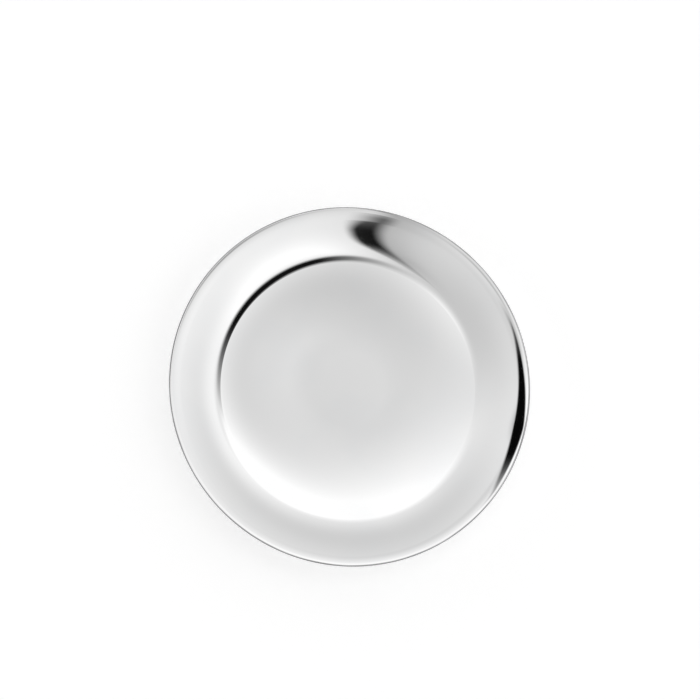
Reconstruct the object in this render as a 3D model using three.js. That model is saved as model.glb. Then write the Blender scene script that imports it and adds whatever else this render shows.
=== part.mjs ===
// A round side plate, pressed from one disc of stainless steel sheet and polished to a mirror.
// Lengths are millimetres, angles are degrees, and +Z is up.
// The origin is the middle of the standing face, on the surface that the plate stands on.
import * as THREE from 'three';

// Overall sizes
const plateDiameter = 180;
const sheetThickness = 1;

// Plan widths of the bands, from the edge inwards. The dish takes up what is left.
const lipWidth = 5.4;
const rimWidth = 16.2;
const shoulderWidth = 3.7;
const bendWidth = 0.4;
const standingDiameter = 36;

// Slopes of the sheet where one band meets the next, as angles above level
const dishEndAngle = 6.9;
const bendEndAngle = 10.8;
const rimStartAngle = 17;
const rimEndAngle = 24;
const edgeAngle = 41.5;

// Flat facets that stand for each smooth band, and for one full turn
const dishSteps = 8;
const bendSteps = 2;
const shoulderSteps = 3;
const rimSteps = 5;
const lipSteps = 6;
const edgeSteps = 5;
const turnSteps = 96;

// Where the bands meet, measured from the axis on the middle of the sheet
const halfSheet = sheetThickness / 2;
const lipEndRadius = plateDiameter / 2 - halfSheet;
const rimEndRadius = lipEndRadius - lipWidth;
const rimStartRadius = rimEndRadius - rimWidth;
const bendEndRadius = rimStartRadius - shoulderWidth;
const dishEndRadius = bendEndRadius - bendWidth;
const standingRadius = standingDiameter / 2;

// The bands in order. Each is an arc: its slope changes evenly from that of the band before to its
// own, so every arc sets off along the one before it.
const bands = [
  { endRadius: standingRadius, endAngle: 0, steps: 1 },
  { endRadius: dishEndRadius, endAngle: dishEndAngle, steps: dishSteps },
  { endRadius: bendEndRadius, endAngle: bendEndAngle, steps: bendSteps },
  { endRadius: rimStartRadius, endAngle: rimStartAngle, steps: shoulderSteps },
  { endRadius: rimEndRadius, endAngle: rimEndAngle, steps: rimSteps },
  { endRadius: lipEndRadius, endAngle: edgeAngle, steps: lipSteps },
];

// The middle of the sheet as a list of points, each with its radius, height and slope in radians.
// Each step climbs at the slope that the sheet has halfway along it.
function middleOfSheet() {
  const points = [{ radius: 0, height: halfSheet, slope: 0 }];
  let radius = 0;
  let angle = 0;
  for (const band of bands) {
    const startRadius = radius;
    const slopeAt = (share) => THREE.MathUtils.degToRad(
      THREE.MathUtils.lerp(angle, band.endAngle, share));
    for (let step = 1; step <= band.steps; step += 1) {
      const nextRadius = THREE.MathUtils.lerp(startRadius, band.endRadius, step / band.steps);
      const climb = Math.tan(slopeAt((step - 1 / 2) / band.steps)) * (nextRadius - radius);
      const height = points[points.length - 1].height + climb;
      points.push({ radius: nextRadius, height, slope: slopeAt(step / band.steps) });
      radius = nextRadius;
    }
    angle = band.endAngle;
  }
  return points;
}

// A point of the middle line moved off square to the sheet: up for the top face, down for the underside
function offset(point, distance) {
  return new THREE.Vector2(
    point.radius - distance * Math.sin(point.slope),
    point.height + distance * Math.cos(point.slope));
}

// The edge is rounded over the full thickness: a half circle from the underside round to the top face
function roundedEdge(point) {
  const arc = [];
  for (let step = 1; step < edgeSteps; step += 1) {
    const turn = point.slope + Math.PI * (step / edgeSteps - 1 / 2);
    arc.push(new THREE.Vector2(
      point.radius + halfSheet * Math.cos(turn),
      point.height + halfSheet * Math.sin(turn)));
  }
  return arc;
}

// The closed section of the sheet, from the axis out along the underside and back along the top
function sheetSection() {
  const middle = middleOfSheet();
  const underside = middle.map((point) => offset(point, -halfSheet));
  const topFace = middle.map((point) => offset(point, halfSheet)).reverse();
  return [...underside, ...roundedEdge(middle[middle.length - 1]), ...topFace];
}

const polishedSteel = new THREE.MeshStandardMaterial({
  name: 'polished_steel', color: 0xdcdddd, metalness: 1, roughness: 0.05,
});

// The pressing is a turned form. A lathe turns about Y, so it is stood up to turn about Z.
const pressing = new THREE.LatheGeometry(sheetSection(), turnSteps);
pressing.rotateX(Math.PI / 2);

const pressedPlate = new THREE.Mesh(pressing, polishedSteel);
pressedPlate.name = 'pressed_plate';

const sidePlate = new THREE.Group();
sidePlate.name = 'side_plate';
sidePlate.add(pressedPlate);

export default sidePlate;
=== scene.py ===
# %% [markdown]
# # A side plate in mirror-polished steel
# The plate is one disc of stainless steel sheet, pressed to a shallow dish with a crisp bend round
# it and a wide rim, and polished until it reflects the room. So this lesson is about two things: a
# very smooth turned surface, and a quiet studio that is worth reflecting.
# The frame holds the plate at its real size, in metres. Everything here is built inside it.

# %% Load the frame
import math
import bpy
from mathutils import Matrix, Vector


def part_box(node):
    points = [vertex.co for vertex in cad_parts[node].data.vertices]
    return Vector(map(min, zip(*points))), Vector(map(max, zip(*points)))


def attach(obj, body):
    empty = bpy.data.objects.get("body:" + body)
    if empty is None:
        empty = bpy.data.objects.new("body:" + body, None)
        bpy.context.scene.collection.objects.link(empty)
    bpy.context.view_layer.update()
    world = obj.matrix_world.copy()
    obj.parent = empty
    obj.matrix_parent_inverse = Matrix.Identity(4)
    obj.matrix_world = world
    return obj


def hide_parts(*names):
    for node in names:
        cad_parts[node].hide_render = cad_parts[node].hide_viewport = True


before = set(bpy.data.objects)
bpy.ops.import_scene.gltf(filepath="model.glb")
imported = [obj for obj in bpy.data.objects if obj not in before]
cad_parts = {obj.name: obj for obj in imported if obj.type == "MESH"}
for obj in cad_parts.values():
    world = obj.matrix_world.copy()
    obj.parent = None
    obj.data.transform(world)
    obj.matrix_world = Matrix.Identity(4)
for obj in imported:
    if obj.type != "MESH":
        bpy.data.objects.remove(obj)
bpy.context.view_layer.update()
plate_low, plate_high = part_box("pressed_plate")
plate_width = plate_high[0] - plate_low[0]
plate_height = plate_high[2]
scene = bpy.context.scene
mm = 0.001
print(f"plate {plate_width / mm:.1f} mm across, {plate_height / mm:.1f} mm high")

# %% [markdown]
# ## Helpers for node trees
# Shapes, finishes and lights are all made of nodes below. A few helpers keep that readable. They add
# a node and fill its sockets by name, write a sum as nodes, and carry a value smoothly from one
# level to another. A value that is already a socket is linked, and a plain number is typed in.
# The second set starts a node group with named sockets, and places one with its own values.

# %% Node helpers
def fill(tree, socket, value):
    """Link a socket to the value if that is a socket too, or else type the value in."""
    if isinstance(value, bpy.types.NodeSocket):
        tree.links.new(value, socket)
    else:
        socket.default_value = value


def node(tree, kind, inputs=None, **settings):
    """Add a node with its settings, and fill the sockets that are named."""
    made = tree.nodes.new(kind)
    for name, value in settings.items():
        setattr(made, name, value)
    for name, value in (inputs or {}).items():
        fill(tree, made.inputs[name], value)
    return made


def sums(tree, operation, *values):
    """One step of arithmetic on numbers or sockets. Gives the socket with the answer."""
    made = tree.nodes.new("ShaderNodeMath")
    made.operation = operation
    for socket, value in zip(made.inputs, values):
        fill(tree, socket, value)
    return made.outputs[0]


def spread(tree, value, start, end, low, high, interpolation="SMOOTHSTEP"):
    """Carry a value from low at start to high at end, level beyond both."""
    made = node(tree, "ShaderNodeMapRange", interpolation_type=interpolation, clamp=True)
    sockets = ("Value", "From Min", "From Max", "To Min", "To Max")
    for name, given in zip(sockets, (value, start, end, low, high)):
        fill(tree, made.inputs[name], given)
    return made.outputs[0]


print("helpers: fill, node, sums, spread")

# %% Group helpers
def numbers(*titles):
    """Sockets that are all plain numbers."""
    return {title: "Float" for title in titles}


def start_group(name, inputs, outputs):
    """Start a node group with named sockets. Gives its tree and what comes in."""
    tree = bpy.data.node_groups.new(name, "ShaderNodeTree")
    for title, kind in inputs.items():
        tree.interface.new_socket(title, in_out="INPUT", socket_type="NodeSocket" + kind)
    for title, kind in outputs.items():
        tree.interface.new_socket(title, in_out="OUTPUT", socket_type="NodeSocket" + kind)
    return tree, node(tree, "NodeGroupInput").outputs


def use_group(tree, group, **given):
    """Place a group in a tree with its own values. Gives its outputs."""
    placed = node(tree, "ShaderNodeGroup", node_tree=group)
    for name, value in given.items():
        fill(tree, placed.inputs[name.replace("_", " ").title()], value)
    return placed.outputs


def length_of(tree, across, along):
    """The length of a step with two parts."""
    square = sums(tree, "MULTIPLY_ADD", across, across, sums(tree, "MULTIPLY", along, along))
    return sums(tree, "SQRT", square)


print("helpers: numbers, start_group, use_group, length_of")

# %% [markdown]
# ## The section of the sheet
# Someone who presses plates thinks in bands: the flat middle that the plate stands on, the dish,
# the tight bend round it, the shoulder, the rim, and the lip that turns up to the edge. Each band
# is an arc that sets off along the one before it. So a band needs only two numbers: its width, and
# the slope in degrees that the sheet has reached when it leaves the band.
# Most of these numbers come from a photograph of such a plate. A search in a separate program found
# the widths and slopes that explain its reflections most simply, and they were rounded. The
# thickness is read from the line of the edge, and the standing face was held wide enough for the
# plate to stand well.

# %% Sizes of the bands
sheet_thickness = 1.0 * mm
standing_width = 18.0 * mm
bend_width = 0.4 * mm
shoulder_width = 3.7 * mm
rim_width = 16.2 * mm
lip_width = 5.4 * mm

half_sheet = sheet_thickness / 2
lip_end = plate_width / 2 - half_sheet
outer_bands = bend_width + shoulder_width + rim_width + lip_width
dish_width = lip_end - outer_bands - standing_width

# Slopes at the end of each band, in degrees above level
dish_slope = 6.9
bend_slope = 10.8
shoulder_slope = 17.0
rim_slope = 24.0
lip_slope = 41.5

bands = [
    {"name": "Standing Face", "width": standing_width, "slope": 0.0, "steps": 6},
    {"name": "Dish", "width": dish_width, "slope": dish_slope, "steps": 40},
    {"name": "Bend", "width": bend_width, "slope": bend_slope, "steps": 6},
    {"name": "Shoulder", "width": shoulder_width, "slope": shoulder_slope, "steps": 24},
    {"name": "Rim", "width": rim_width, "slope": rim_slope, "steps": 32},
    {"name": "Lip", "width": lip_width, "slope": lip_slope, "steps": 40},
]
middle_steps = sum(band["steps"] for band in bands)
print(f"{len(bands)} bands, dish {dish_width / mm:.1f} mm wide, {middle_steps} steps in all")

# %% [markdown]
# ## Turning the section with Geometry Nodes
# A lathe is the natural tool for a round plate, and Geometry Nodes can be one. The tree works in
# three stages. First a line of points becomes the middle of the sheet: each point adds up the
# climb of all the steps before it. Then a flat grid is given the numbering of a turned surface, one
# way round the section and one way round the axis. Last, every grid point is moved to its place.
# The sizes stay as named inputs, so another plate needs only other numbers.

# %% The rule for the middle of the sheet
half_step = 0.5


def radius_at(tree, step, sockets):
    """The distance from the axis: each band adds its width evenly over its steps."""
    total = 0.0
    start = 0.0
    for band in bands:
        end = start + band["steps"]
        share = spread(tree, step, start, end, 0.0, 1.0, "LINEAR")
        total = sums(tree, "MULTIPLY_ADD", share, sockets[band["name"] + " Width"], total)
        start = end
    return total


def slope_at(tree, step, sockets):
    """The slope in radians: along each band it changes evenly, as it does along an arc."""
    total = 0.0
    start = 0.0
    before = 0.0
    for band in bands:
        end = start + band["steps"]
        target = sockets[band["name"] + " Slope"]
        share = spread(tree, step, start, end, 0.0, 1.0, "LINEAR")
        total = sums(tree, "MULTIPLY_ADD", share, sums(tree, "SUBTRACT", target, before), total)
        before = target
        start = end
    return sums(tree, "RADIANS", total)


def middle_line(tree, sockets):
    """The middle of the sheet as a line of points, with fields for their places and slopes."""
    line = node(tree, "GeometryNodeMeshLine", {"Count": middle_steps + 1})
    index = node(tree, "GeometryNodeInputIndex").outputs[0]
    radius = radius_at(tree, index, sockets)
    slope = slope_at(tree, index, sockets)
    slope_between = slope_at(tree, sums(tree, "SUBTRACT", index, half_step), sockets)
    radius_before = radius_at(tree, sums(tree, "SUBTRACT", index, 1.0), sockets)
    run = sums(tree, "SUBTRACT", radius, radius_before)
    climb = sums(tree, "MULTIPLY", sums(tree, "TANGENT", slope_between), run)
    height = node(tree, "GeometryNodeAccumulateField", {"Value": climb}).outputs["Leading"]
    return line.outputs[0], {"radius": radius, "slope": slope, "height": height}


print("a point's height is the sum of the climbs before it")

# %% The grid that is bent into the plate
edge_steps = 10
turn_steps = 288
section_steps = 2 * middle_steps + edge_steps
merge_distance = 0.001 * mm


def name_sockets(tree):
    """Give the tree its named sizes and finish. Gives the sockets that bring them in."""
    face = tree.interface
    sizes = [f"{band['name']} {part}" for band in bands for part in ("Width", "Slope")]
    for size in sizes + ["Half Sheet"]:
        face.new_socket(size, in_out="INPUT", socket_type="NodeSocketFloat")
    face.new_socket("Finish", in_out="INPUT", socket_type="NodeSocketMaterial")
    face.new_socket("Plate", in_out="OUTPUT", socket_type="NodeSocketGeometry")
    return node(tree, "NodeGroupInput").outputs


def turned_places(tree, given):
    """Where each grid point goes on the plate."""
    line, fields = middle_line(tree, given)
    index = node(tree, "GeometryNodeInputIndex").outputs[0]
    per_column = turn_steps + 1.0
    column = sums(tree, "DIVIDE", sums(tree, "ADD", index, half_step), per_column)
    along = sums(tree, "FLOOR", column)
    around = sums(tree, "MODULO", index, per_column)

    # The section runs out along the underside, round the edge, and back in along the top face
    way_back = sums(tree, "SUBTRACT", float(section_steps), along)
    nearest = sums(tree, "MINIMUM", sums(tree, "MINIMUM", along, way_back), float(middle_steps))
    edge_end = float(middle_steps + edge_steps)
    side = spread(tree, along, float(middle_steps), edge_end, -math.pi / 2, math.pi / 2, "LINEAR")

    middle = {}
    for name, field in fields.items():
        sample = node(tree, "GeometryNodeSampleIndex",
                      {"Geometry": line, "Value": field, "Index": nearest}, clamp=True)
        middle[name] = sample.outputs[0]

    facing = sums(tree, "ADD", middle["slope"], side)
    outward = sums(tree, "COSINE", facing)
    upward = sums(tree, "SINE", facing)
    out = sums(tree, "MULTIPLY_ADD", outward, given["Half Sheet"], middle["radius"])
    up = sums(tree, "MULTIPLY_ADD", upward, given["Half Sheet"], middle["height"])
    turn = sums(tree, "MULTIPLY", around, 2 * math.pi / turn_steps)
    place = node(tree, "ShaderNodeCombineXYZ", {
        "X": sums(tree, "MULTIPLY", out, sums(tree, "COSINE", turn)),
        "Y": sums(tree, "MULTIPLY", out, sums(tree, "SINE", turn)),
        "Z": sums(tree, "ADD", up, given["Half Sheet"]),
    })
    return place.outputs[0]


def turned_sheet():
    """Build the tree that makes the whole plate."""
    tree = bpy.data.node_groups.new("turned_sheet", "GeometryNodeTree")
    given = name_sockets(tree)
    places = turned_places(tree, given)
    grid = node(tree, "GeometryNodeMeshGrid",
                {"Vertices X": section_steps + 1, "Vertices Y": turn_steps + 1})
    bent = node(tree, "GeometryNodeSetPosition", {"Geometry": grid.outputs[0], "Position": places})
    closed = node(tree, "GeometryNodeMergeByDistance",
                  {"Geometry": bent.outputs[0], "Distance": merge_distance})
    smooth = node(tree, "GeometryNodeSetShadeSmooth", {"Geometry": closed.outputs[0]})
    real = node(tree, "GeometryNodeRealizeInstances", {"Geometry": smooth.outputs[0]})
    finished = node(tree, "GeometryNodeSetMaterial",
                    {"Geometry": real.outputs[0], "Material": given["Finish"]})
    node(tree, "NodeGroupOutput", {"Plate": finished.outputs[0]})
    return tree


lathe = turned_sheet()
print(f"tree {lathe.name} has {len(lathe.nodes)} nodes")

# %% [markdown]
# ## Mirror-polished stainless steel
# Polished stainless steel is a neutral metal that reflects most of the light with almost no blur.
# What makes it look real is what is left over from its making and its use. The press leaves waves
# that are too shallow to feel. The polishing wheel leaves faint rings. Cutlery and cloths leave a
# few hair-thin scratches, and fingers leave hazy places. The edge is cut and then ground, not
# polished, so a narrow satin band of rougher steel runs round the plate. That band is also painted
# much darker than the mirror beside it: this is painted shade, a dark line laid along the edge.
# Each effect is a small node group that puts out one mask, and the material decides what the masks
# do: they change colour, roughness and the height of the surface by very small amounts.

# %% Values inside the effects
# How many finer layers each noise has
ring_detail = 2.0
scratch_detail = 1.0
cloud_detail = 2.0
# How far above its rarity the noise makes a scratch fully deep
scratch_edge = 0.05
# The clouds between these two levels make the ground band and its painted shade narrower or wider
cloud_low = 0.3
cloud_high = 0.7
narrow_share = 0.85
wide_share = 1.15
# The share of the band's width over which it is fully ground and fully painted with shade
full_share = 0.75
print(f"ground band from {narrow_share} to {wide_share} of its width")

# %% Rings, scratches and haze
def noise_at(tree, place, detail):
    """Soft noise at a place that is already counted in noise cells."""
    inputs = {"Vector": place, "Scale": 1.0, "Detail": detail}
    return node(tree, "ShaderNodeTexNoise", inputs).outputs[0]


def stretched(tree, place, across, along, turn):
    """The place counted in cells that are long one way and turned."""
    counts = {"X": sums(tree, "DIVIDE", 1.0, along), "Y": sums(tree, "DIVIDE", 1.0, across)}
    cells = node(tree, "ShaderNodeCombineXYZ", {**counts, "Z": counts["Y"]}).outputs[0]
    angle = node(tree, "ShaderNodeCombineXYZ", {"Z": turn}).outputs[0]
    inputs = {"Vector": place, "Rotation": angle, "Scale": cells}
    return node(tree, "ShaderNodeMapping", inputs, vector_type="POINT").outputs[0]


def polishing_rings():
    """Rings from the polishing wheel, from 0 to 1."""
    sockets = {**numbers("Spacing"), "Place": "Vector"}
    tree, given = start_group("polishing_rings", sockets, numbers("Rings"))
    part = node(tree, "ShaderNodeSeparateXYZ", {"Vector": given["Place"]}).outputs
    ring = sums(tree, "DIVIDE", length_of(tree, part["X"], part["Y"]), given["Spacing"])
    rings = node(tree, "ShaderNodeTexNoise", noise_dimensions="1D")
    fill(tree, rings.inputs["W"], ring)
    fill(tree, rings.inputs["Scale"], 1.0)
    fill(tree, rings.inputs["Detail"], ring_detail)
    node(tree, "NodeGroupOutput", {"Rings": rings.outputs[0]})
    return tree


def hair_scratches():
    """Straight thin scratches that all lie one way, as a mask."""
    sockets = {**numbers("Width", "Length", "Turn", "Rarity"), "Place": "Vector"}
    tree, given = start_group("hair_scratches", sockets, numbers("Mask"))
    place = stretched(tree, given["Place"], given["Width"], given["Length"], given["Turn"])
    noise = noise_at(tree, place, scratch_detail)
    deepest = sums(tree, "ADD", given["Rarity"], scratch_edge)
    mask = spread(tree, noise, given["Rarity"], deepest, 0.0, 1.0)
    node(tree, "NodeGroupOutput", {"Mask": mask})
    return tree


def broad_clouds():
    """Slow changes over the surface, from 0 to 1."""
    sockets = {**numbers("Size"), "Place": "Vector"}
    tree, given = start_group("broad_clouds", sockets, numbers("Clouds"))
    cell = sums(tree, "DIVIDE", 1.0, given["Size"])
    scaled = node(tree, "ShaderNodeVectorMath", operation="SCALE")
    fill(tree, scaled.inputs[0], given["Place"])
    fill(tree, scaled.inputs["Scale"], cell)
    clouds = noise_at(tree, scaled.outputs[0], cloud_detail)
    node(tree, "NodeGroupOutput", {"Clouds": clouds})
    return tree


def ground_and_painted_shade_edge():
    """The satin band at the very edge, and the painted shade there, as a mask with a slightly uneven
    inner line.
    """
    sockets = {**numbers("Radius", "Width", "Clouds"), "Place": "Vector"}
    tree, given = start_group("ground_and_painted_shade_edge", sockets, numbers("Mask"))
    part = node(tree, "ShaderNodeSeparateXYZ", {"Vector": given["Place"]}).outputs
    from_edge = sums(tree, "SUBTRACT", given["Radius"], length_of(tree, part["X"], part["Y"]))
    swing = spread(tree, given["Clouds"], cloud_low, cloud_high, narrow_share, wide_share)
    uneven = sums(tree, "MULTIPLY", given["Width"], swing)
    inner = sums(tree, "MULTIPLY", uneven, full_share)
    node(tree, "NodeGroupOutput", {"Mask": spread(tree, from_edge, inner, uneven, 1.0, 0.0)})
    return tree


effects = {
    "rings": polishing_rings(),
    "scratches": hair_scratches(),
    "clouds": broad_clouds(),
    "edge": ground_and_painted_shade_edge(),
}
print("effects:", ", ".join(effects))

# %% The finish of the steel
# Colours of the mirror, of its hazy places, and the painted shade of the ground band
mirror_tone = (0.93, 0.93, 0.93, 1)
hazy_tone = (0.915, 0.917, 0.92, 1)
painted_edge_shade_tone = (0.42, 0.42, 0.425, 1)
# The roughness of the mirror, and what each mark adds to it
mirror_roughness = 0.03
haze_roughness = 0.015
ring_roughness = 0.01
scratch_roughness = 0.06
ground_roughness = 0.2
# Sizes and heights of the marks
ring_spacing = 0.8 * mm
ring_height = 0.00008 * mm
scratch_width = 0.12 * mm
scratch_length = 9.0 * mm
scratch_rarity = 0.73
scratch_depth = 0.0002 * mm
scratch_turns = (0.4, 1.5, 2.7)
haze_size = 35.0 * mm
haze_begins = 0.45
haze_full = 0.65
wave_size = 22.0 * mm
wave_height = 0.004 * mm
ground_and_painted_shade_width = 0.7 * mm


def mixed(tree, share, first, second):
    """Two colours mixed by a share from 0 to 1."""
    mix = node(tree, "ShaderNodeMix", {"Factor": share}, data_type="RGBA")
    fill(tree, mix.inputs["A"], first)
    fill(tree, mix.inputs["B"], second)
    return mix.outputs["Result"]


def polished_steel():
    """Mirror finish with rings, scratches, haze, press waves, the ground edge and its painted shade.
    """
    material = bpy.data.materials.new("polished_steel")
    material.use_nodes = True
    tree = material.node_tree
    shader = tree.nodes["Principled BSDF"]
    shader.inputs["Metallic"].default_value = 1
    place = node(tree, "ShaderNodeTexCoord").outputs["Object"]
    rings = use_group(tree, effects["rings"], place=place, spacing=ring_spacing)["Rings"]
    haze = use_group(tree, effects["clouds"], place=place, size=haze_size)["Clouds"]
    waves = use_group(tree, effects["clouds"], place=place, size=wave_size)["Clouds"]
    # The mask of the ground band, which also sets where the edge is painted with shade
    edge = use_group(tree, effects["edge"], place=place, radius=plate_width / 2,
                     width=ground_and_painted_shade_width, clouds=waves)["Mask"]
    scratches = 0.0
    for turn in scratch_turns:
        one = use_group(tree, effects["scratches"], place=place, width=scratch_width,
                        length=scratch_length, turn=turn, rarity=scratch_rarity)["Mask"]
        scratches = sums(tree, "MAXIMUM", one, scratches)

    hazy = spread(tree, haze, haze_begins, haze_full, 0.0, 1.0)
    colour = mixed(tree, hazy, mirror_tone, hazy_tone)
    # The edge band is painted much darker than the mirror: painted shade along the edge
    colour = mixed(tree, edge, colour, painted_edge_shade_tone)
    fill(tree, shader.inputs["Base Color"], colour)

    roughness = sums(tree, "MULTIPLY_ADD", hazy, haze_roughness, mirror_roughness)
    roughness = sums(tree, "MULTIPLY_ADD", rings, ring_roughness, roughness)
    roughness = sums(tree, "MULTIPLY_ADD", scratches, scratch_roughness, roughness)
    roughness = sums(tree, "MULTIPLY_ADD", edge, ground_roughness, roughness)
    fill(tree, shader.inputs["Roughness"], roughness)

    height = sums(tree, "MULTIPLY", rings, ring_height)
    height = sums(tree, "MULTIPLY_ADD", scratches, -scratch_depth, height)
    height = sums(tree, "MULTIPLY_ADD", waves, wave_height, height)
    relief = node(tree, "ShaderNodeBump", {"Height": height, "Distance": 1.0, "Strength": 1.0})
    fill(tree, shader.inputs["Normal"], relief.outputs["Normal"])
    return material


steel = polished_steel()
print(f"finish {steel.name} with {len(steel.node_tree.nodes)} nodes")

# %% Turn the plate
def lathe_plate():
    """Run the tree, keep its result as a plain mesh, and seat it on the frame."""
    holder = bpy.data.objects.new("polished_plate", bpy.data.meshes.new("blank"))
    scene.collection.objects.link(holder)
    turning = holder.modifiers.new("turning", "NODES")
    turning.node_group = lathe
    wanted = {"Half Sheet": half_sheet, "Finish": steel}
    for band in bands:
        wanted[band["name"] + " Width"] = band["width"]
        wanted[band["name"] + " Slope"] = float(band["slope"])
    for item in lathe.interface.items_tree:
        if item.name in wanted:
            turning[item.identifier] = wanted[item.name]
    depsgraph = bpy.context.evaluated_depsgraph_get()
    mesh = bpy.data.meshes.new_from_object(holder.evaluated_get(depsgraph))
    holder.modifiers.remove(turning)
    holder.data = mesh
    mesh.name = "polished_plate"
    return holder


plate = lathe_plate()
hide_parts("pressed_plate")
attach(plate, "root")
top = max(vertex.co.z for vertex in plate.data.vertices)
print(f"{len(plate.data.polygons)} faces, {top / mm:.2f} mm high, frame {plate_height / mm:.2f} mm")

# %% [markdown]
# ## The camera
# The picture looks almost straight down on the plate, leaning a little to one side, so that the
# round outline turns into a slightly narrowed ellipse. How narrow gives the lean, and the direction
# of its short axis gives the side. A far camera with a long lens keeps the outline that even.
# The lean, the side and the place in the picture were fitted to the outline in a photograph. The
# distance is a guess.

# %% Place the camera
picture_size = 700
plate_centre_px = Vector((351.35, 384.46))
plate_radius_px = 182.13
lean = math.radians(11.77)
lean_side = math.radians(231.3)
# Metres from the camera to the plate, and the nearest and furthest that it sees
camera_distance = 1.2
nearest_seen = 0.01
furthest_seen = 100
# The width of the sensor, in millimetres
sensor_width = 36.0

toward_camera = Vector((
    math.sin(lean) * math.cos(lean_side),
    math.sin(lean) * math.sin(lean_side),
    math.cos(lean),
))
rim_centre = Vector((0, 0, plate_height))
focal_px = plate_radius_px * camera_distance / (plate_width / 2)
camera_data = bpy.data.cameras.new("camera")
camera_data.sensor_width = sensor_width
camera_data.lens = sensor_width * focal_px / picture_size
camera_data.clip_start = nearest_seen
camera_data.clip_end = furthest_seen
camera = bpy.data.objects.new("camera", camera_data)
scene.collection.objects.link(camera)
scene.camera = camera
print(f"lens {camera_data.lens:.1f} mm at {camera_distance} m")

# %% Aim the camera
# Straight at the plate first, and then turned by the angles that its place in the picture asks for
forward = -toward_camera
right = forward.cross(Vector((0, 1, 0))).normalized()
upward = right.cross(forward)
straight = Matrix((right, upward, toward_camera)).transposed()
off_centre = (Vector((picture_size / 2, picture_size / 2)) - plate_centre_px) / focal_px
aim = straight @ Vector((off_centre.x, -off_centre.y, -1)).normalized()
aim_right = aim.cross(Vector((0, 1, 0))).normalized()
aim_up = aim_right.cross(aim)
pose = Matrix((aim_right, aim_up, -aim)).transposed().to_4x4()
pose.translation = rim_centre + toward_camera * camera_distance
camera.matrix_world = pose
print(f"camera {pose.translation.z:.2f} m above the floor")

# %% [markdown]
# ## The studio in the mirror
# A mirror has no colour of its own: what the plate shows is the room. So the room is laid out with
# care, as a product photographer does it, with soft white cards over a pale tent and a few dark gaps
# between them. The cards are far away, so only their direction counts, and the whole room fits
# into the world shader. No lamp is needed: the room itself is the light.
# The room is drawn on a map of directions. Straight up is the map's middle, and a direction that
# leans 30 degrees from upright lies 30 degrees out. A level mirror under this camera shows one
# place on that map, so the cards are measured from there: how far out, and facing which way.
# The numbers for the cards and the gaps below weren't all set by hand. A separate program fitted
# most of them to the tones that a photograph shows over such a plate, by least squares. They were
# then rounded, and a few were changed to come closer to those tones.

# %% Places on the map of directions
seen_across = math.degrees(lean) * math.cos(lean_side + math.pi)
seen_along = math.degrees(lean) * math.sin(lean_side + math.pi)
# Keeps a ray that goes straight up from being divided by nothing
least_level = 0.0001


def studio_map():
    """From a ray's direction to its place, counted in degrees from the place that is seen level."""
    tree, given = start_group("studio_map", {}, numbers("Across", "Along", "Out", "Side"))
    ray = node(tree, "ShaderNodeTexCoord").outputs["Generated"]
    part = node(tree, "ShaderNodeSeparateXYZ", {"Vector": ray}).outputs
    from_upright = sums(tree, "DEGREES", sums(tree, "ARCCOSINE", part["Z"]))
    level = sums(tree, "MAXIMUM", length_of(tree, part["X"], part["Y"]), least_level)
    stretch = sums(tree, "DIVIDE", from_upright, level)
    across = sums(tree, "MULTIPLY_ADD", part["X"], stretch, -seen_across)
    along = sums(tree, "MULTIPLY_ADD", part["Y"], stretch, -seen_along)
    side = sums(tree, "DEGREES", sums(tree, "ARCTAN2", along, across))
    node(tree, "NodeGroupOutput", {
        "Across": across,
        "Along": along,
        "Out": length_of(tree, across, along),
        "Side": side,
    })
    return tree


def turned(tree, side, facing):
    """How many degrees a place lies to one side of a facing, from -180 to 180."""
    return sums(tree, "WRAP", sums(tree, "SUBTRACT", side, facing), 180.0, -180.0)


print(f"a level mirror shows {seen_across:.1f}, {seen_along:.1f} degrees from straight up")

# %% [markdown]
# ## White cards
# A card behind diffusion has no hard edge: it is brightest in its middle and fades out like a bell
# curve. Some cards bend round the middle of the map, and those follow its circles. The others lie
# near the middle and are round. Each kind is one node group, placed as often as there are cards.

# %% The two kinds of card
def bell(tree, first, second):
    """One in the middle, falling off smoothly as either number grows."""
    square = sums(tree, "MULTIPLY_ADD", first, first, sums(tree, "MULTIPLY", second, second))
    return sums(tree, "EXPONENT", sums(tree, "MULTIPLY", square, -1.0))


def curved_card():
    """A card that bends round the middle of the map."""
    sockets = numbers("Out", "Side", "Place", "Depth", "Facing", "Reach", "Strength")
    tree, given = start_group("curved_card", sockets, numbers("Light"))
    off_place = sums(tree, "SUBTRACT", given["Out"], given["Place"])
    depth = sums(tree, "DIVIDE", off_place, given["Depth"])
    reach = sums(tree, "DIVIDE", turned(tree, given["Side"], given["Facing"]), given["Reach"])
    light = sums(tree, "MULTIPLY", bell(tree, depth, reach), given["Strength"])
    node(tree, "NodeGroupOutput", {"Light": light})
    return tree


def round_card():
    """A round card near the middle of the map."""
    sockets = numbers("Across", "Along", "Right", "Up", "Size", "Strength")
    tree, given = start_group("round_card", sockets, numbers("Light"))
    off_right = sums(tree, "SUBTRACT", given["Across"], given["Right"])
    off_up = sums(tree, "SUBTRACT", given["Along"], given["Up"])
    right = sums(tree, "DIVIDE", off_right, given["Size"])
    up = sums(tree, "DIVIDE", off_up, given["Size"])
    light = sums(tree, "MULTIPLY", bell(tree, right, up), given["Strength"])
    node(tree, "NodeGroupOutput", {"Light": light})
    return tree


curved_tree = curved_card()
round_tree = round_card()
print(f"groups {curved_tree.name} and {round_tree.name}")

# %% Hang the cards
# The light of the bare tent, and the most that any place can give
tent_light = 0.55
brightest = 1.08
# The curved cards come up from nothing between these two places, in degrees out
middle_out = 1.0
middle_full = 10.0

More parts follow.
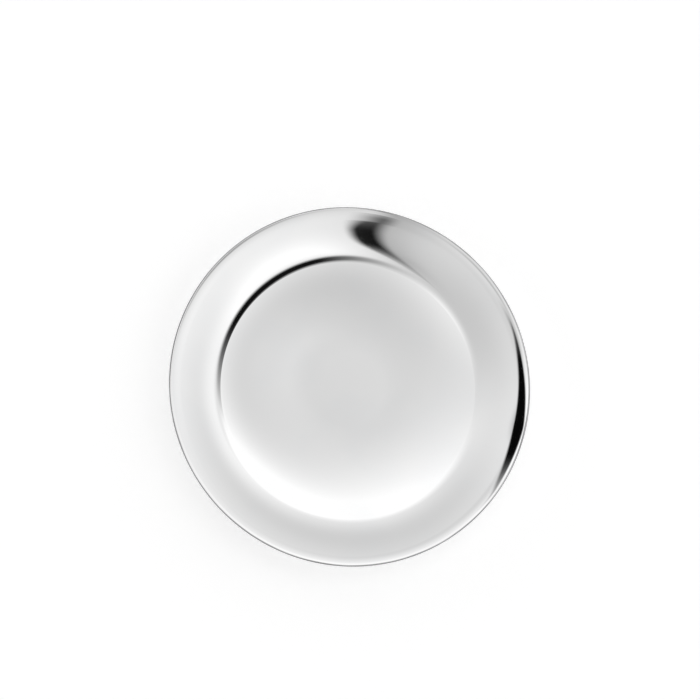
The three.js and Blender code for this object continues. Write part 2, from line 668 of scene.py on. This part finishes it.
curved_cards = [
    # The main card, which the lower left of the dish shows
    {"place": 17.8, "depth": 7.0, "facing": 50.0, "reach": 35.0, "strength": 1.2},
    # A card past the crescent gap, which whitens the dish and the bend at the upper left
    {"place": 28.0, "depth": 9.8, "facing": -64.0, "reach": 35.0, "strength": 0.55},
    # The broad wall of the tent, which the rim shows on the left
    {"place": 50.5, "depth": 23.5, "facing": -30.0, "reach": 88.0, "strength": 0.38},
    # The low wall all round, which the lip shows
    {"place": 76.5, "depth": 20.0, "facing": 120.0, "reach": 130.0, "strength": 0.39},
    # A narrow strip above that wall
    {"place": 45.0, "depth": 6.7, "facing": 140.0, "reach": 110.0, "strength": 0.12},
    # A card on the right, which the lower right of the shoulder shows
    {"place": 30.5, "depth": 17.6, "facing": 164.0, "reach": 30.0, "strength": 0.24},
    # A thin strip that the shoulder shows as its bright line
    {"place": 30.2, "depth": 4.4, "facing": 25.0, "reach": 65.0, "strength": 0.275},
    # A thin strip near the camera, inside the crescent gap
    {"place": 12.0, "depth": 2.5, "facing": -5.0, "reach": 105.0, "strength": 0.28},
    # The lit strip past the open side, which the lip shows outside the black crescent
    {"place": 75.0, "depth": 5.0, "facing": 160.0, "reach": 22.0, "strength": 0.35},
    # A low bright strip, which the lip shows just inside the edge
    {"place": 75.5, "depth": 3.5, "facing": 70.0, "reach": 70.0, "strength": 0.15},
]
round_cards = [
    # The top card, which the lower half of the dish shows
    {"right": -5.9, "up": 15.4, "size": 12.9, "strength": 0.7},
    # A soft card on the camera's left
    {"right": -12.9, "up": -10.5, "size": 7.9, "strength": 0.41},
    # A small card on its right
    {"right": 4.8, "up": -2.6, "size": 4.9, "strength": 0.15},
    # A faint one inside that, which the left of the dish shows
    {"right": 2.0, "up": -1.4, "size": 1.6, "strength": 0.05},
]
print(f"{len(curved_cards)} curved cards and {len(round_cards)} round ones, tent {tent_light}")

# %% [markdown]
# ## Dark gaps
# White alone would make the steel look like paper. It is the dark gaps between the cards that draw
# the plate: a crescent gap lies round the camera, a leaning gap runs outward from it, and at one
# side the tent stands open. Each gap is a mask from 0 to 1 that takes its share of the light away.

# %% Sizes of the crescent gap, in degrees
# Its middle line: where it faces, how far out it lies there, and how it leans and curls sideways
crescent_facing = -46.5
crescent_out = 23.1
crescent_lean = -0.056
crescent_curl = -0.0005
# Half its width in the middle, how far to each side it narrows away, and its soft edges
crescent_half_width = 5.3
crescent_reach = 99.0
crescent_softness = 5.9
# Where it comes up at one end and fades at the other, and the share of light that it takes
crescent_begins = -127.0
crescent_full = -75.0
crescent_fades = -29.0
crescent_ends = 27.0
crescent_dark = 0.995
print(f"crescent {2 * crescent_half_width:.0f} degrees wide, {crescent_out:.0f} degrees out")

# %% Sizes of the leaning gap, in degrees
# Where it faces, and half its width and its soft edges, before and beyond the knee
gap_facing = -94.4
gap_half_width = 5.7
gap_half_width_far = 4.7
gap_right_softness = 7.0
gap_left_softness = 5.5
gap_left_softness_far = 14.5
# The curl at its inner end, and the furthest that it may curl
gap_curl = 29.0
gap_curl_out = 31.0
gap_curl_fade = 2.6
gap_furthest = -175.0
# The knee, and the slow drift beyond it
gap_knee = 40.0
gap_straight = 48.0
gap_knee_turn = 3.8
gap_drift = 0.05
gap_drift_out = 44.0
# Where it begins and is full, and the shares of light that it takes near and far
gap_begins = 29.0
gap_full = 36.0
gap_dark = 0.985
gap_dark_far = 0.76
# Where it thins toward its outer end, and where it stops
gap_thins = 57.5
gap_thinned = 69.5
gap_dark_end = 0.47
gap_stops = 68.7
gap_gone = 70.1
print(f"leaning gap from {gap_begins:.0f} to {gap_gone:.0f} degrees out")

# %% Sizes of the open side, in degrees
# Two straight edges on the near side and two on the far side, with the softness of each pair
near_softness = 5.5
near_edges = [
    {"facing": 198.5, "out": 36.0},
    {"facing": 150.0, "out": 41.8},
]
far_softness = 4.5
far_edges = [
    {"facing": 145.0, "out": 70.5},
    {"facing": 191.5, "out": 67.0},
]
# The share of light that it takes, and how it fades to both sides of where it faces
open_dark = 0.997
open_facing = 172.0
open_full = 16.0
open_faded = 46.0
print(f"open side faces {open_facing:.0f}, {len(near_edges)} near edges, {len(far_edges)} far ones")

# %% The grey card and the thin gaps, in degrees
# A grey card stands beside the leaning gap: the light it takes, its soft edge, how far to the side
# it reaches, and how far out it begins and is full
grey_card = 0.33
grey_softness = 10.0
grey_reach = 17.5
grey_begins = 30.5
grey_full = 34.5

# A thin gap is shaped like a curved card, and its strength is the share of light that it takes
thin_gaps = [
    # A seam of the tent, which the rim shows as a thin line from the leaning gap
    {"place": 72.4, "depth": 2.4, "facing": -141.0, "reach": 18.0, "strength": 0.37},
    # The same seam nearer the open side, where the black crescent tapers out
    {"place": 66.0, "depth": 5.0, "facing": -162.0, "reach": 9.0, "strength": 0.55},
    # The tail of the open side, which the lip shows where the black crescent ends below
    {"place": 71.0, "depth": 2.5, "facing": 141.0, "reach": 6.0, "strength": 0.4},
    # The dark foot of the tent, which the lip shows along the edge at the upper left
    {"place": 77.5, "depth": 3.5, "facing": -42.0, "reach": 25.0, "strength": 1.0},
]
print(f"grey card takes {grey_card} of the light, {len(thin_gaps)} thin gaps")

# %% The gaps as masks
def soft_edge(tree, inside, softness):
    """From nothing to one over a soft edge, by how far inside the edge a place lies."""
    half = sums(tree, "MULTIPLY", softness, 0.5)
    return spread(tree, inside, sums(tree, "MULTIPLY", half, -1.0), half, 0.0, 1.0)


def crescent_gap():
    """The gap that bends round the camera: widest in its middle, and ending softly both ways."""
    tree, given = start_group("crescent_gap", numbers("Out", "Side"), numbers("Mask"))
    away = turned(tree, given["Side"], crescent_facing)
    square = sums(tree, "MULTIPLY", away, away)
    middle = sums(tree, "MULTIPLY_ADD", away, crescent_lean, crescent_out)
    middle = sums(tree, "MULTIPLY_ADD", square, crescent_curl, middle)
    narrowing = sums(tree, "MULTIPLY", square, -crescent_half_width / crescent_reach ** 2)
    half_width = sums(tree, "MAXIMUM", sums(tree, "ADD", narrowing, crescent_half_width), 0.0)
    off_middle = sums(tree, "ABSOLUTE", sums(tree, "SUBTRACT", given["Out"], middle))
    mask = soft_edge(tree, sums(tree, "SUBTRACT", half_width, off_middle), crescent_softness)
    begins = spread(tree, given["Side"], crescent_begins, crescent_full, 0.0, 1.0)
    fades = spread(tree, given["Side"], crescent_fades, crescent_ends, 1.0, 0.0)
    mask = sums(tree, "MULTIPLY", sums(tree, "MULTIPLY", mask, begins), fades)
    node(tree, "NodeGroupOutput", {"Mask": sums(tree, "MULTIPLY", mask, crescent_dark)})
    return tree


def leaning_gap():
    """The gap that runs outward: it curls in from the crescent, then stands almost straight."""
    tree, given = start_group("leaning_gap", numbers("Out", "Side"), numbers("Mask", "Beside"))
    out = given["Out"]
    beyond = spread(tree, out, gap_knee, gap_straight, 0.0, 1.0)
    curl = sums(tree, "DIVIDE", sums(tree, "SUBTRACT", gap_curl_out, out), gap_curl_fade)
    middle = sums(tree, "MULTIPLY_ADD", sums(tree, "EXPONENT", curl), -gap_curl, gap_facing)
    middle = sums(tree, "MULTIPLY_ADD", beyond, -gap_knee_turn, middle)
    drift = sums(tree, "MAXIMUM", sums(tree, "SUBTRACT", out, gap_drift_out), 0.0)
    middle = sums(tree, "MULTIPLY_ADD", drift, -gap_drift, middle)
    middle = sums(tree, "MAXIMUM", middle, gap_furthest)
    beside = turned(tree, given["Side"], middle)
    widening = gap_half_width_far - gap_half_width
    softening = gap_left_softness_far - gap_left_softness
    half_width = sums(tree, "MULTIPLY_ADD", beyond, widening, gap_half_width)
    left_softness = sums(tree, "MULTIPLY_ADD", beyond, softening, gap_left_softness)
    left = soft_edge(tree, sums(tree, "SUBTRACT", half_width, beside), left_softness)
    right = soft_edge(tree, sums(tree, "ADD", half_width, beside), gap_right_softness)
    mask = sums(tree, "MULTIPLY", left, right)
    dark = spread(tree, out, gap_begins, gap_full, 0.0, gap_dark)
    dark = sums(tree, "MULTIPLY_ADD", beyond, gap_dark_far - gap_dark, dark)
    end_share = spread(tree, out, gap_thins, gap_thinned, 0.0, 1.0)
    dark = sums(tree, "MULTIPLY_ADD", end_share, gap_dark_end - gap_dark_far, dark)
    dark = sums(tree, "MULTIPLY", dark, spread(tree, out, gap_stops, gap_gone, 1.0, 0.0))
    node(tree, "NodeGroupOutput", {"Mask": sums(tree, "MULTIPLY", mask, dark), "Beside": beside})
    return tree


def past_edge(tree, given, edge, softness):
    """The mask of everything past a straight edge that stands square to a facing."""
    turn = math.radians(edge["facing"])
    along = sums(tree, "MULTIPLY", given["Along"], math.sin(turn))
    reach = sums(tree, "MULTIPLY_ADD", given["Across"], math.cos(turn), along)
    start = edge["out"] - softness / 2
    return spread(tree, reach, start, start + softness, 0.0, 1.0)


def open_side():
    """The open side of the tent: past the two near edges, and short of the two far ones."""
    tree, given = start_group("open_side", numbers("Across", "Along", "Side"), numbers("Mask"))
    away = sums(tree, "ABSOLUTE", turned(tree, given["Side"], open_facing))
    mask = spread(tree, away, open_full, open_faded, open_dark, 0.0)
    for edge in near_edges:
        mask = sums(tree, "MULTIPLY", past_edge(tree, given, edge, near_softness), mask)
    for edge in far_edges:
        beyond = past_edge(tree, given, edge, far_softness)
        mask = sums(tree, "MULTIPLY", sums(tree, "SUBTRACT", 1.0, beyond), mask)
    node(tree, "NodeGroupOutput", {"Mask": mask})
    return tree


crescent_tree = crescent_gap()
leaning_tree = leaning_gap()
open_tree = open_side()
print("gaps: crescent, leaning and the open side")

# %% [markdown]
# ## The studio put together
# The curved and the round cards are added up over the light of the tent, and the grey card takes a
# little of it back. Then every gap takes its share, one after another. What is left is the light
# that comes from that direction. The camera's own rays see plain white instead, so the studio only
# shows in the mirror and lights the floor.

# %% The light of the cards and the masks of the gaps
def card_light(tree, place):
    """The cards added up over the light of the tent."""
    light = 0.0
    for card in curved_cards:
        one = use_group(tree, curved_tree, out=place["Out"], side=place["Side"], **card)["Light"]
        light = sums(tree, "ADD", one, light)
    middle = spread(tree, place["Out"], middle_out, middle_full, 0.0, 1.0)
    light = sums(tree, "MULTIPLY", light, middle)
    for card in round_cards:
        one = use_group(tree, round_tree, across=place["Across"], along=place["Along"],
                        **card)["Light"]
        light = sums(tree, "ADD", one, light)
    return sums(tree, "ADD", light, tent_light)


def grey_side(tree, out, beside):
    """The light that the grey card takes, on the one side of the leaning gap."""
    grey = spread(tree, beside, -grey_softness / 2, grey_softness / 2, grey_card, 0.0)
    past = sums(tree, "DIVIDE", sums(tree, "MINIMUM", beside, 0.0), grey_reach)
    grey = sums(tree, "MULTIPLY", grey, bell(tree, past, 0.0))
    begins = spread(tree, out, grey_begins, grey_full, 0.0, 1.0)
    return sums(tree, "MULTIPLY", grey, begins)


def gap_masks(tree, place, leaning):
    """The masks of the crescent gap, the leaning gap, the open side and the thin gaps."""
    out = place["Out"]
    side = place["Side"]
    crescent = use_group(tree, crescent_tree, out=out, side=side)["Mask"]
    opening = use_group(tree, open_tree, across=place["Across"], along=place["Along"],
                        side=side)["Mask"]
    masks = [crescent, leaning["Mask"], opening]
    for line in thin_gaps:
        masks.append(use_group(tree, curved_tree, out=out, side=side, **line)["Light"])
    return masks


print("parts of the studio: card_light, grey_side, gap_masks")

# %% Light the room
plain_white = (1, 1, 1, 1)


def light_room():
    """Build the studio's world, with plain white where the camera looks past the plate."""
    world = bpy.data.worlds.new("studio")
    world.use_nodes = True
    tree = world.node_tree
    place = use_group(tree, studio_map())
    leaning = use_group(tree, leaning_tree, out=place["Out"], side=place["Side"])
    light = card_light(tree, place)
    grey = grey_side(tree, place["Out"], leaning["Beside"])
    light = sums(tree, "MINIMUM", sums(tree, "SUBTRACT", light, grey), brightest)
    for mask in gap_masks(tree, place, leaning):
        light = sums(tree, "MULTIPLY", light, sums(tree, "SUBTRACT", 1.0, mask))

    seen = node(tree, "ShaderNodeLightPath").outputs["Is Camera Ray"]
    shown = node(tree, "ShaderNodeMix", {"Factor": seen}, data_type="FLOAT")
    fill(tree, shown.inputs["A"], light)
    fill(tree, shown.inputs["B"], 1.0)
    background = tree.nodes["Background"]
    background.inputs["Color"].default_value = plain_white
    fill(tree, background.inputs["Strength"], shown.outputs["Result"])
    scene.world = world
    scene.view_settings.view_transform = "Standard"
    return world


studio = light_room()
print(f"world {studio.name} has {len(studio.node_tree.nodes)} nodes")

# %% [markdown]
# ## The floor
# The plate rests on plain white paper that runs out of the picture. The paper is matt, so the plate
# still leaves its soft shadow on it. The camera sees it a little lifted, as a white background is
# printed, and so does the mirror. The lift lights nothing else.

# %% Lay the floor
floor_size = 6.0
paper_tone = 0.9
paper_lift = 0.36


def pale_floor():
    """A flat sheet of white paper under the plate."""
    mesh = bpy.data.meshes.new("floor")
    half = floor_size / 2
    corners = [(-half, -half, 0), (half, -half, 0), (half, half, 0), (-half, half, 0)]
    mesh.from_pydata(corners, [], [(0, 1, 2, 3)])
    paper = bpy.data.objects.new("floor", mesh)
    scene.collection.objects.link(paper)
    material = bpy.data.materials.new("floor_paper")
    material.use_nodes = True
    tree = material.node_tree
    shader = tree.nodes["Principled BSDF"]
    shader.inputs["Base Color"].default_value = (paper_tone, paper_tone, paper_tone, 1)
    shader.inputs["Roughness"].default_value = 1
    shader.inputs["Specular IOR Level"].default_value = 0
    shader.inputs["Emission Color"].default_value = plain_white
    path = node(tree, "ShaderNodeLightPath").outputs
    seen = sums(tree, "MAXIMUM", path["Is Camera Ray"], path["Is Glossy Ray"])
    fill(tree, shader.inputs["Emission Strength"], sums(tree, "MULTIPLY", seen, paper_lift))
    mesh.materials.append(material)
    return paper


floor = pale_floor()
print(f"floor {floor_size} m wide")
